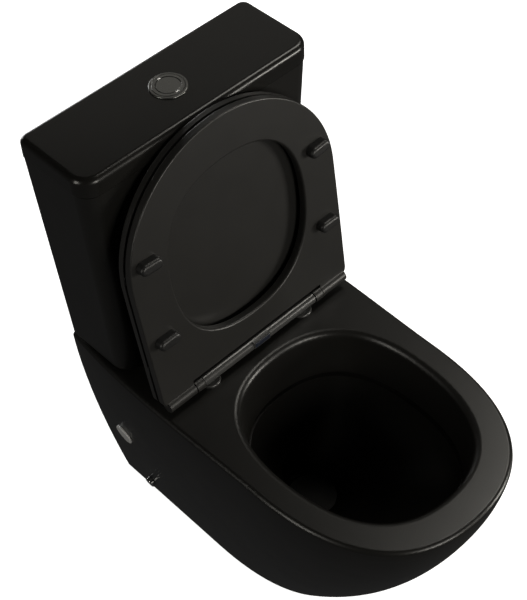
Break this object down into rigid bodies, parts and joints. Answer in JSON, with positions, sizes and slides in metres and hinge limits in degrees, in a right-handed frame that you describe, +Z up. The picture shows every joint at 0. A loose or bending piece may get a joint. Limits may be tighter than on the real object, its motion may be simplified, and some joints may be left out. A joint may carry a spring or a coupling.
{
  "type": "close coupled toilet",
  "caption": "Back-to-wall close coupled toilet: skirted pan, cistern with dual flush button, soft-close seat and cover standing open.",
  "frame": {"origin": "on the floor, midway between the wall plane and the pan's nose, on the middle plane", "axes": "+Z up, -Y towards the user, +X to the left of someone sitting"},
  "size_m": [0.4, 0.6394, 0.8111],
  "materials": {
    "black_glaze": "matte black glaze",
    "black_seat": "matte black thermoset",
    "black_hinge": "satin black",
    "black_rubber": "matte",
    "soft_rubber": "matte",
    "foam_seal": "closed cell foam",
    "steel": "zinc plated or stainless",
    "white_plastic": "moulded",
    "grey_plastic": "moulded",
    "dark_chrome": "gunmetal plating",
    "bright_chrome": "polished plating",
    "blue_grey_plastic": "satin"
  },
  "bodies": {
    "base": {"pan": "black_glaze", "bowl": "black_glaze", "trapway": "black_glaze", "tank": "black_glaze", "lid_buffers": "soft_rubber", "tank_gasket": "foam_seal", "tank_bolts": "steel", "tank_bolt_seals": "soft_rubber", "tank_bolt_washers": "steel", "tank_wing_nuts": "white_plastic", "flush_valve_body": "white_plastic", "flush_valve_nut": "white_plastic", "fill_valve_body": "white_plastic", "fill_valve_washer": "soft_rubber", "fill_valve_nut": "white_plastic", "inlet_blanking_plug": "white_plastic", "blanking_nut": "white_plastic", "hinge_posts": "steel", "hinge_base_discs": "dark_chrome", "hinge_washers": "soft_rubber", "hinge_nuts": "white_plastic", "side_caps": "dark_chrome", "side_screws": "steel", "screw_covers": "bright_chrome", "floor_brackets": "white_plastic", "floor_screws": "steel"},
    "lid": {"tank_lid": "black_glaze", "button_bezel": "dark_chrome", "button_clamp_nut": "white_plastic", "full_flush_spring": "steel", "half_flush_spring": "steel"},
    "full_button": {"full_flush_button": "dark_chrome"},
    "half_button": {"half_flush_button": "dark_chrome"},
    "flush_lift": {"overflow_tube": "white_plastic", "flush_valve_seal": "soft_rubber"},
    "float": {"fill_valve_float": "grey_plastic"},
    "lever": {"fill_valve_lever": "grey_plastic"},
    "hinge_carriage": {"hinge_bar": "black_hinge", "hinge_pins": "steel", "soft_close_dampers": "steel"},
    "release": {"release_button": "blue_grey_plastic"},
    "seat": {"seat_ring": "black_seat", "seat_bumpers": "black_rubber"},
    "cover": {"cover": "black_seat", "cover_bumpers": "black_rubber"}
  },
  "joints": [
    {"name": "seat_hinge", "type": "hinge", "parent": "hinge_carriage", "child": "seat", "pos_m": [0, 0.1025, 0.418], "axis": [1, 0, 0], "range_deg": [0, 98.25]},
    {"name": "cover_hinge", "type": "hinge", "parent": "hinge_carriage", "child": "cover", "pos_m": [0, 0.1025, 0.418], "axis": [1, 0, 0], "range_deg": [0, 98.25]},
    {"name": "seat_lift_off", "type": "slide", "parent": "base", "child": "hinge_carriage", "axis": [0, 0, 1], "range_m": [0, 0.03]},
    {"name": "release_press", "type": "slide", "parent": "hinge_carriage", "child": "release", "axis": [0, 1, 0], "range_m": [0, 0.002], "stiffness_N_per_m": 400, "springref_m": -0.002},
    {"name": "lid_lift", "type": "slide", "parent": "base", "child": "lid", "axis": [0, 0, 1], "range_m": [0, 0.15]},
    {"name": "full_flush", "type": "slide", "parent": "lid", "child": "full_button", "axis": [0, 0, -1], "range_m": [0, 0.005], "stiffness_N_per_m": 300, "springref_m": -0.004, "deforming": ["full_flush_spring"]},
    {"name": "half_flush", "type": "slide", "parent": "lid", "child": "half_button", "axis": [0, 0, -1], "range_m": [0, 0.005], "stiffness_N_per_m": 300, "springref_m": -0.004, "deforming": ["half_flush_spring"]},
    {"name": "valve_lift", "type": "slide", "parent": "base", "child": "flush_lift", "axis": [0, 0, 1], "range_m": [0, 0.0101]},
    {"name": "float_drop", "type": "slide", "parent": "base", "child": "float", "axis": [0, 0, -1], "range_m": [0, 0.012]},
    {"name": "lever_tilt", "type": "hinge", "parent": "base", "child": "lever", "pos_m": [-0.128, 0.254, 0.724], "axis": [0, -1, 0], "range_deg": [0, 18.5]}
  ],
  "couplings": [
    {"joint": "cover_hinge", "follows": "seat_hinge", "ratio": 1},
    {"joint": "valve_lift", "follows": "full_flush", "ratio": 2},
    {"joint": "lever_tilt", "follows": "float_drop", "rad_per_m": 26}
  ]
}
